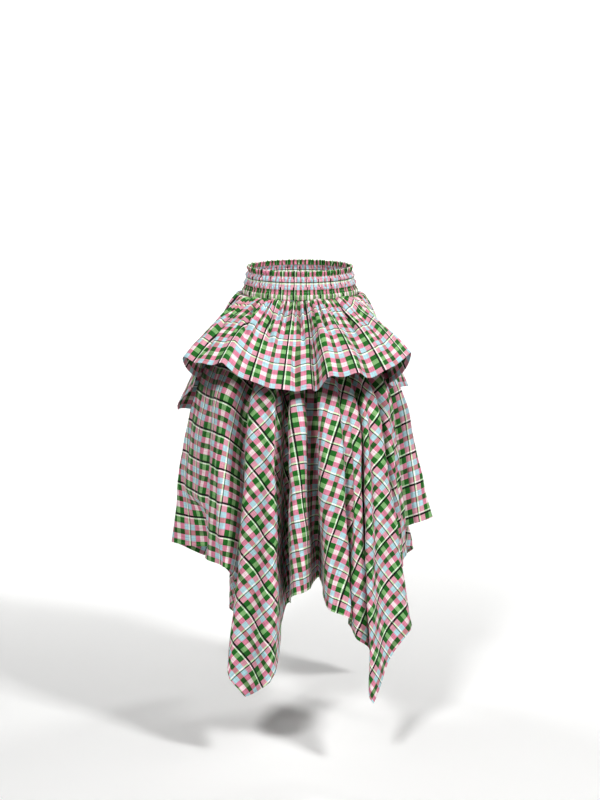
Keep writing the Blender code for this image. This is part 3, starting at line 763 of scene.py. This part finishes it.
def peplum_cloths():
    """Front and back strips of the peplum."""
    drape, lengths_at, around, (left_seam, right_seam) = peplum_drape()
    made = []
    for name, start, end in (
        ("peplum_front", left_seam, right_seam),
        ("peplum_back", right_seam, left_seam + around),
    ):
        columns = int((end - start) / PEPLUM_COLUMN)
        places = np.linspace(start + SEAM_GAP, end - SEAM_GAP, columns)
        lengths = np.interp(places, drape.first_place + PLACE_STEP * np.arange(len(lengths_at)), lengths_at)
        levels = hem_levels(lengths, PEPLUM_ROWS) / lengths
        places = np.broadcast_to(places, levels.shape)
        points = drape.at(places, levels)
        down = levels * lengths
        gathers, hiding = peplum_gathers(places, levels, lengths, around)
        rise = gathers + wave_rise(places, down)
        for top_place, low_place, top_share, low_share, half_width, height in PEPLUM_CREASES:
            along = (levels - top_share) / (low_share - top_share)
            fade = np.sin(math.pi * np.clip(along, 0, 1))
            middle = top_place + (low_place - top_place) * along
            aside = (places - middle + around / 2) % around - around / 2
            rise = rise + height * fade * np.exp(-((aside / half_width) ** 2))
        fade = np.clip(down / SEAM_FLAT, 0, 1)
        points = points + grid_normals(points) * (rise * fade)[:, :, None]
        along = lengths - down
        across = places + hiding + PEPLUM_CHECK_ACROSS
        sheet = cloth_mesh(name + "_cloth", points, across, along, HEM_ROWS)
        made.append((sheet, points, grid_normals(points)))
    return made


def band_cloth():
    """The shirred band: uneven gathers puffed out between the rows of stitching, and a frilled heading."""
    columns = BAND_GATHERS * BAND_COLUMNS_A_GATHER
    turn = np.linspace(0, 2 * math.pi, columns + 1) + math.pi
    share = np.linspace(0, 1, BAND_ROWS + 1)
    turns, shares = np.meshgrid(turn, share)
    puff = np.interp(shares, [row[0] for row in BAND_SECTIONS], [row[1] for row in BAND_SECTIONS])
    gather = turns * BAND_GATHERS / (2 * math.pi)
    for times, phase, swing in UNEVEN_TURNS:
        shift = ROW_SHIFT * np.floor(shares * SHIRRED_ROWS)
        gather = gather + swing * np.sin(times * turns + phase + shift)
    ridge = np.cos(2 * math.pi * gather)
    uneven = 1 + BAND_UNEVENNESS * np.sin(7 * turns + 9 * shares) * np.sin(17 * turns + 1.3)
    outset = GATHER_RISE * puff * uneven * (1 - (0.5 - 0.5 * ridge) ** BAND_NARROWNESS)
    heading = np.clip(1 - shares / HEADING_SHARE, 0, 1)
    outset = outset + HEADING_WAVE * heading * np.sin(math.pi * gather + 0.6)
    half_width = TOP_HALF_WIDTH + (SEAM_HALF_WIDTH - TOP_HALF_WIDTH) * shares
    half_depth = TOP_HALF_DEPTH + (SEAM_HALF_DEPTH - TOP_HALF_DEPTH) * shares
    tilt = TOP_TILT + (SEAM_TILT - TOP_TILT) * shares
    drop = (SEAM_DROP - BAND_LIFT) * shares
    x = (half_width + outset) * np.sin(turns)
    y = -(half_depth + outset) * np.cos(turns)
    z = -drop - tilt * np.cos(turns) + HEADING_FRILL * heading * ridge
    points = np.stack([x, y, z], axis=2)
    across = (turns - math.pi) / (2 * math.pi) * BAND_CLOTH_ROUND
    slide = BAND_CLOTH_ROUND / BAND_GATHERS * BAND_HIDDEN / (2 * math.pi)
    across = across - slide * np.sin(2 * math.pi * gather)
    along = -shares * (SEAM_DROP + BAND_TUCK)
    sheet = cloth_mesh("waistband_cloth", points, across, along + BAND_CHECK_ALONG, 1)
    return sheet, points, grid_normals(points)


def stitch_rows(name, lines, width, lift):
    """Rows of thread: a small raised lozenge for each stitch, along lines of points with their normals."""
    points, faces = [], []
    for line, normals in lines:
        steps = np.concatenate([[0], np.cumsum(np.linalg.norm(np.diff(line, axis=0), axis=1))])
        starts = np.arange(STITCH_SPACING, steps[-1] - STITCH_SPACING, STITCH_SPACING)
        ends = starts + STITCH_LENGTH
        middle = starts + STITCH_LENGTH / 2

        def read(at, values):
            return np.stack([np.interp(at, steps, values[:, axis]) for axis in range(3)], axis=1)

        first, last = read(starts, line), read(ends, line)
        centre, up = read(middle, line), read(middle, normals)
        way = last - first
        way /= np.linalg.norm(way, axis=1)[:, None]
        side = np.cross(up, way) * width / 2
        low, high = up * lift, up * (lift + width * STITCH_HEIGHT)
        sunk = low * STITCH_SINK
        for index in range(len(starts)):
            start = len(points)
            end, right, left, top = start + 1, start + 2, start + 3, start + 4
            points += [first[index] + sunk[index], last[index] + sunk[index]]
            points += [centre[index] + side[index] + low[index], centre[index] - side[index] + low[index]]
            points += [centre[index] + high[index]]
            faces += [(start, left, top), (left, end, top), (end, right, top), (right, start, top)]
    mesh = bpy.data.meshes.new(name)
    mesh.from_pydata([tuple(point) for point in points], [], faces)
    mesh.shade_smooth()
    stitches = bpy.data.objects.new(name, mesh)
    bpy.context.scene.collection.objects.link(stitches)
    return stitches


def linear(colour):
    """A shader colour from one given as red, green and blue up to 255."""
    share = np.array(colour, float) / 255
    value = np.where(share <= 0.04045, share / 12.92, ((share + 0.055) / 1.055) ** 2.4)
    return (*value.tolist(), 1.0)


class Shader:
    """A material's nodes, made one after another."""

    def __init__(self, name):
        self.material = bpy.data.materials.new(name)
        self.material.use_nodes = True
        self.tree = self.material.node_tree
        self.surface = self.tree.nodes["Principled BSDF"]

    def link(self, value, socket):
        if isinstance(value, (int, float)):
            socket.default_value = value
        else:
            self.tree.links.new(value, socket)

    def math(self, operation, first, second=0.0):
        node = self.tree.nodes.new("ShaderNodeMath")
        node.operation = operation
        self.link(first, node.inputs[0])
        self.link(second, node.inputs[1])
        return node.outputs[0]

    def ramp(self, factor, stops):
        node = self.tree.nodes.new("ShaderNodeValToRGB")
        node.color_ramp.interpolation = "CONSTANT"
        elements = node.color_ramp.elements
        while len(elements) < len(stops):
            elements.new(1.0)
        for element, (place, colour) in zip(elements, stops):
            element.position = place
            element.color = colour
        self.link(factor, node.inputs[0])
        return node.outputs[0]

    def mix(self, factor, first, second, blend="MIX"):
        node = self.tree.nodes.new("ShaderNodeMix")
        node.data_type = "RGBA"
        node.blend_type = blend
        self.link(factor, node.inputs[0])
        self.link(first, node.inputs[6])
        self.link(second, node.inputs[7])
        return node.outputs[2]

    def noise(self, across, along, scale_across, scale_along, detail):
        place = self.tree.nodes.new("ShaderNodeCombineXYZ")
        self.link(self.math("MULTIPLY", across, scale_across), place.inputs[0])
        self.link(self.math("MULTIPLY", along, scale_along), place.inputs[1])
        node = self.tree.nodes.new("ShaderNodeTexNoise")
        node.inputs["Scale"].default_value = 1.0
        node.inputs["Detail"].default_value = detail
        self.link(place.outputs[0], node.inputs["Vector"])
        return node.outputs["Fac"]


def stops_of(bands, colours):
    """Ramp stops of a run of bands: where each starts, as a share of the repeat, and its colour."""
    total = sum(width for _, width in bands)
    starts = np.cumsum([0] + [width for _, width in bands[:-1]]) / total
    return list(zip(starts.tolist(), colours))


def check_cloth():
    """The checked cotton: a colour where each band crosses a row, uneven yarns, fine weave, low sheen."""
    shader = Shader("checked_cotton")
    cut = shader.tree.nodes.new("ShaderNodeUVMap")
    cut.uv_map = "cut"
    split = shader.tree.nodes.new("ShaderNodeSeparateXYZ")
    shader.tree.links.new(cut.outputs[0], split.inputs[0])
    across, along = split.outputs[0], split.outputs[1]
    warp_repeat = sum(width for _, width in WARP_BANDS) / 1000
    weft_repeat = sum(width for _, width in WEFT_ROWS) / 1000
    warp_place = shader.math("FRACT", shader.math("DIVIDE", across, warp_repeat))
    weft_place = shader.math("FRACT", shader.math("DIVIDE", along, weft_repeat))
    colour = None
    for row, colours in CROSSINGS:
        cells = shader.ramp(warp_place, stops_of(WARP_BANDS, [linear(value) for value in colours]))
        if colour is None:
            colour = cells
            continue
        shown = [(1.0, 1.0, 1.0, 1.0) if name == row else (0.0, 0.0, 0.0, 1.0) for name, _ in WEFT_ROWS]
        mask = shader.ramp(weft_place, stops_of(WEFT_ROWS, shown))
        colour = shader.mix(mask, colour, cells)
    warp_yarns = shader.noise(across, along, YARNS_A_METRE, SLUBS_A_METRE, 2.0)
    weft_yarns = shader.noise(across, along, SLUBS_A_METRE, YARNS_A_METRE, 2.0)
    shade = shader.math("ADD", shader.math("ADD", warp_yarns, weft_yarns), YARN_SHADE)
    colour = shader.mix(YARN_UNEVENNESS, colour, shade_colour(shader, shade), "MULTIPLY")
    shader.link(colour, shader.surface.inputs["Base Color"])
    shader.surface.inputs["Roughness"].default_value = 0.62
    shader.surface.inputs["Specular IOR Level"].default_value = 0.35
    shader.surface.inputs["Sheen Weight"].default_value = 0.12
    shader.surface.inputs["Sheen Roughness"].default_value = 0.45
    warp_weave = shader.math("SINE", shader.math("MULTIPLY", across, math.pi / YARN))
    weft_weave = shader.math("SINE", shader.math("MULTIPLY", along, math.pi / YARN))
    weave = shader.math("MULTIPLY", warp_weave, weft_weave)
    crumple = shader.noise(across, along, CRUMPLES_A_METRE, CRUMPLES_A_METRE, 3.0)
    height = shader.math("ADD", shader.math("MULTIPLY", weave, WEAVE_SHARE), crumple)
    bump = shader.tree.nodes.new("ShaderNodeBump")
    bump.inputs["Strength"].default_value = 0.42
    bump.inputs["Distance"].default_value = 0.004
    shader.link(height, bump.inputs["Height"])
    shader.link(bump.outputs[0], shader.surface.inputs["Normal"])
    return shader.material


def shade_colour(shader, value):
    """A grey from a value, for multiplying."""
    node = shader.tree.nodes.new("ShaderNodeCombineColor")
    for socket in node.inputs[:3]:
        shader.link(value, socket)
    return node.outputs[0]


def thread():
    """Sewing thread: pale green, a little glossier than the cloth."""
    shader = Shader("sewing_thread")
    shader.surface.inputs["Base Color"].default_value = linear((196, 206, 188))
    shader.surface.inputs["Roughness"].default_value = 0.45
    return shader.material


def plain(name, colour, roughness):
    shader = Shader(name)
    shader.surface.inputs["Base Color"].default_value = linear(colour)
    shader.surface.inputs["Roughness"].default_value = roughness
    return shader.material


def area_light(name, place, aim, size, power):
    light = bpy.data.lights.new(name, "AREA")
    light.shape = "RECTANGLE"
    light.size, light.size_y = size
    light.energy = power
    item = bpy.data.objects.new(name, light)
    item.location = place
    way = np.array(aim, float) - np.array(place, float)
    level = math.hypot(way[0], way[1])
    item.rotation_euler = (math.atan2(level, -way[2]), 0, math.atan2(-way[0], way[1]))
    bpy.context.scene.collection.objects.link(item)


def backdrop():
    """A pale floor that curves up into a wall."""
    profile = [(-BACKDROP_HALF, FLOOR_HEIGHT)]
    for turn in np.linspace(0, math.pi / 2, 17):
        y = BACKDROP_AT - BACKDROP_BEND + BACKDROP_BEND * math.sin(turn)
        profile.append((y, FLOOR_HEIGHT + BACKDROP_BEND * (1 - math.cos(turn))))
    profile.append((BACKDROP_AT, BACKDROP_TOP))
    points = [(side, y, z) for y, z in profile for side in (-BACKDROP_HALF, BACKDROP_HALF)]
    faces = [(2 * row, 2 * row + 1, 2 * row + 3, 2 * row + 2) for row in range(len(profile) - 1)]
    mesh = bpy.data.meshes.new("backdrop")
    mesh.from_pydata(points, [], faces)
    mesh.shade_smooth()
    mesh.materials.append(plain("pale_backdrop", (250, 250, 249), 0.8))
    item = bpy.data.objects.new("backdrop", mesh)
    bpy.context.scene.collection.objects.link(item)


def studio():
    """The backdrop, soft lights from the front right and left, the backdrop's own lights, and the camera."""
    world = bpy.data.worlds.new("studio")
    world.use_nodes = True
    world.node_tree.nodes["Background"].inputs[0].default_value = (1.0, 1.0, 1.0, 1.0)
    world.node_tree.nodes["Background"].inputs[1].default_value = WORLD_LIGHT
    bpy.context.scene.world = world
    bpy.context.scene.view_settings.view_transform = "Standard"
    bpy.context.scene.view_settings.look = "Medium High Contrast"
    backdrop()
    for name, x, y, z, aim_x, aim_y, aim_z, width, height, power in LIGHTS:
        area_light(name, (x, y, z), (aim_x, aim_y, aim_z), (width, height), power)
    camera = bpy.data.cameras.new("camera")
    camera.lens = LENS
    camera.sensor_width = 36
    item = bpy.data.objects.new("camera", camera)
    item.location = (0, -CAMERA_DISTANCE, CAMERA_HEIGHT)
    item.rotation_euler = (math.radians(90 - CAMERA_DOWN), 0, 0)
    bpy.context.scene.collection.objects.link(item)
    bpy.context.scene.camera = item


def dressed(sheet, node, cloth, sewing):
    """The sheet stands for its solid, and it and its sewing ride on the part."""
    sheet.data.materials.append(cloth)
    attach(sheet, "root")
    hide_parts(node)
    for piece in sewing:
        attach(piece, "root")


def main():
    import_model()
    studio()
    cloth = check_cloth()
    sewing_thread = thread()
    lift = CLOTH_THICKNESS / 2

    band, points, normals = band_cloth()
    rows = [int(round(share * BAND_ROWS)) for share in BAND_STITCH_SHARES]
    lines = [(points[row], normals[row]) for row in rows]
    band_stitches = stitch_rows("waistband_stitches", lines, BAND_STITCH_WIDTH, lift)
    band_stitches.data.materials.append(sewing_thread)
    sewing = [band_stitches]
    dressed(band, "waistband", cloth, sewing)

    cloths = peplum_cloths() + skirt_cloths()
    for (sheet, points, normals), (flat, area) in zip(cloths, SHOWN_CUTS):
        node = sheet.name.removesuffix("_cloth")
        line = points[-HEM_STITCH], normals[-HEM_STITCH]
        stitches = stitch_rows(node + "_stitches", [line], HEM_STITCH_WIDTH, lift)
        stitches.data.materials.append(sewing_thread)
        dressed(sheet, node, cloth, [stitches])


main()
